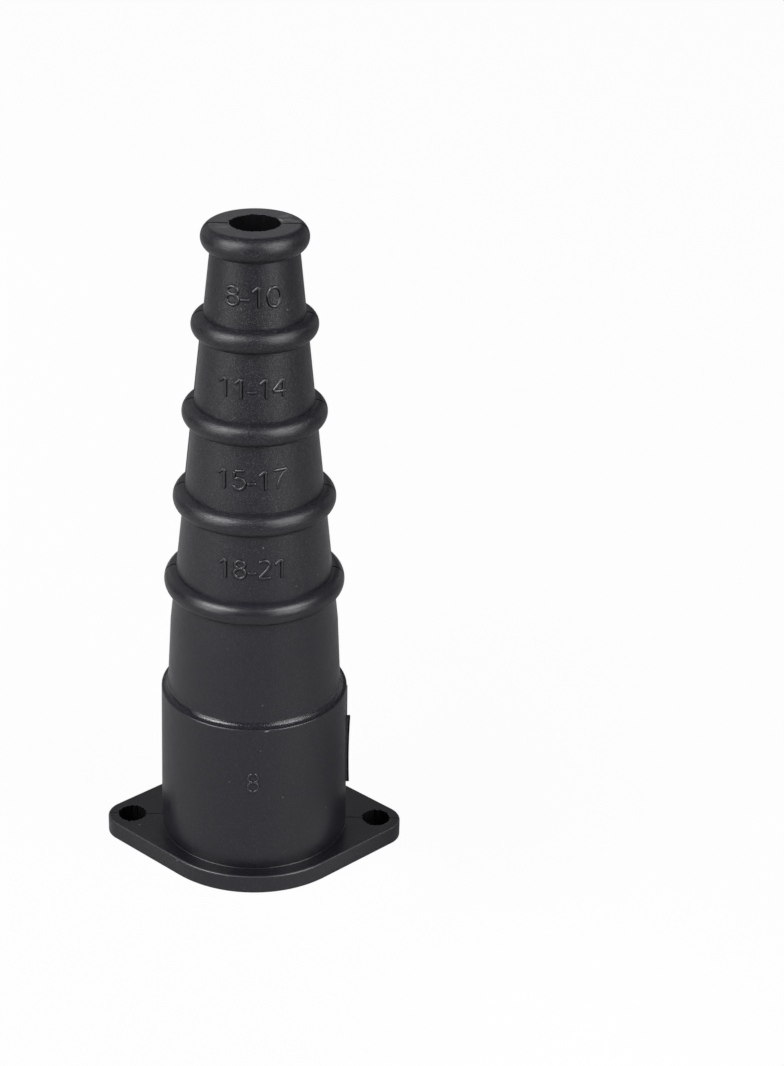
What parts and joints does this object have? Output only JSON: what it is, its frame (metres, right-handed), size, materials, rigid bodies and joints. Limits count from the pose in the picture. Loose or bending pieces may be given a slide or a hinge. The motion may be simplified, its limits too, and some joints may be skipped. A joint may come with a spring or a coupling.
{
  "type": "cable bushing",
  "caption": "One-piece black rubber cable bushing: a beaded cone with a stepped bore, cut off to suit the cable, on a flat bolt-on flange.",
  "frame": {"origin": "centre of the flange's underside, on the bore's axis", "axes": "+Z along the bore towards the cable exit, X through the bolt holes, cable-size numbers on the -Y side"},
  "size_m": [0.0562, 0.0406, 0.1243],
  "materials": {
    "rubber": "matt to satin moulded black rubber with a fine grain"
  },
  "bodies": {
    "root": {"bushing": "rubber"}
  },
  "joints": []
}
